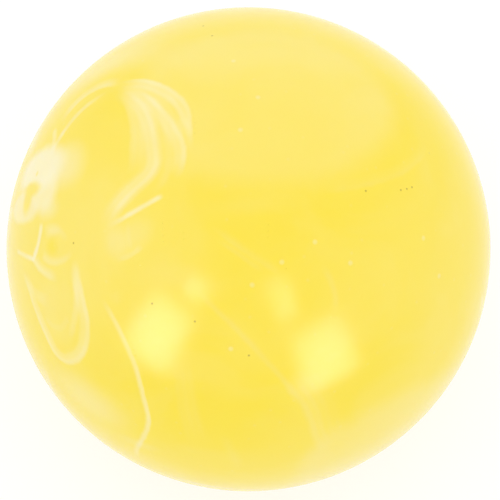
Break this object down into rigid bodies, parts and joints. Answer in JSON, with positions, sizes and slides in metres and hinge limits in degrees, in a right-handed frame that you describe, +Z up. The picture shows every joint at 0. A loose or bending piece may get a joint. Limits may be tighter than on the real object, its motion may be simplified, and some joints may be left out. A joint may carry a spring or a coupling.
{
  "type": "numbered pool ball",
  "caption": "Solid cast-resin ball with a marbled surface and one round number disc set flush into its back.",
  "frame": {"origin": "centre of the ball", "axes": "+Z up and out of the top, -Z through the point the ball rests on, +Y out through the middle of the number disc, whose numeral reads upright with +Z up. The marbled side faces up and forward, towards +Z and -Y, with its white swirl towards -X."},
  "size_m": [0.0572, 0.0572, 0.0572],
  "materials": {
    "yellow_resin": "polished, slightly translucent, marbled lemon yellow",
    "swirl_resin": "polished, milky white",
    "disc_resin": "polished, ivory white",
    "numeral_resin": "polished, black"
  },
  "bodies": {
    "root": {"ball_body": "yellow_resin", "number_disc": "disc_resin", "numeral_one": "numeral_resin", "swirl_fan": "swirl_resin", "swirl_loop": "swirl_resin", "swirl_tail": "swirl_resin", "swirl_cell": "swirl_resin", "swirl_knot": "swirl_resin"}
  },
  "joints": []
}
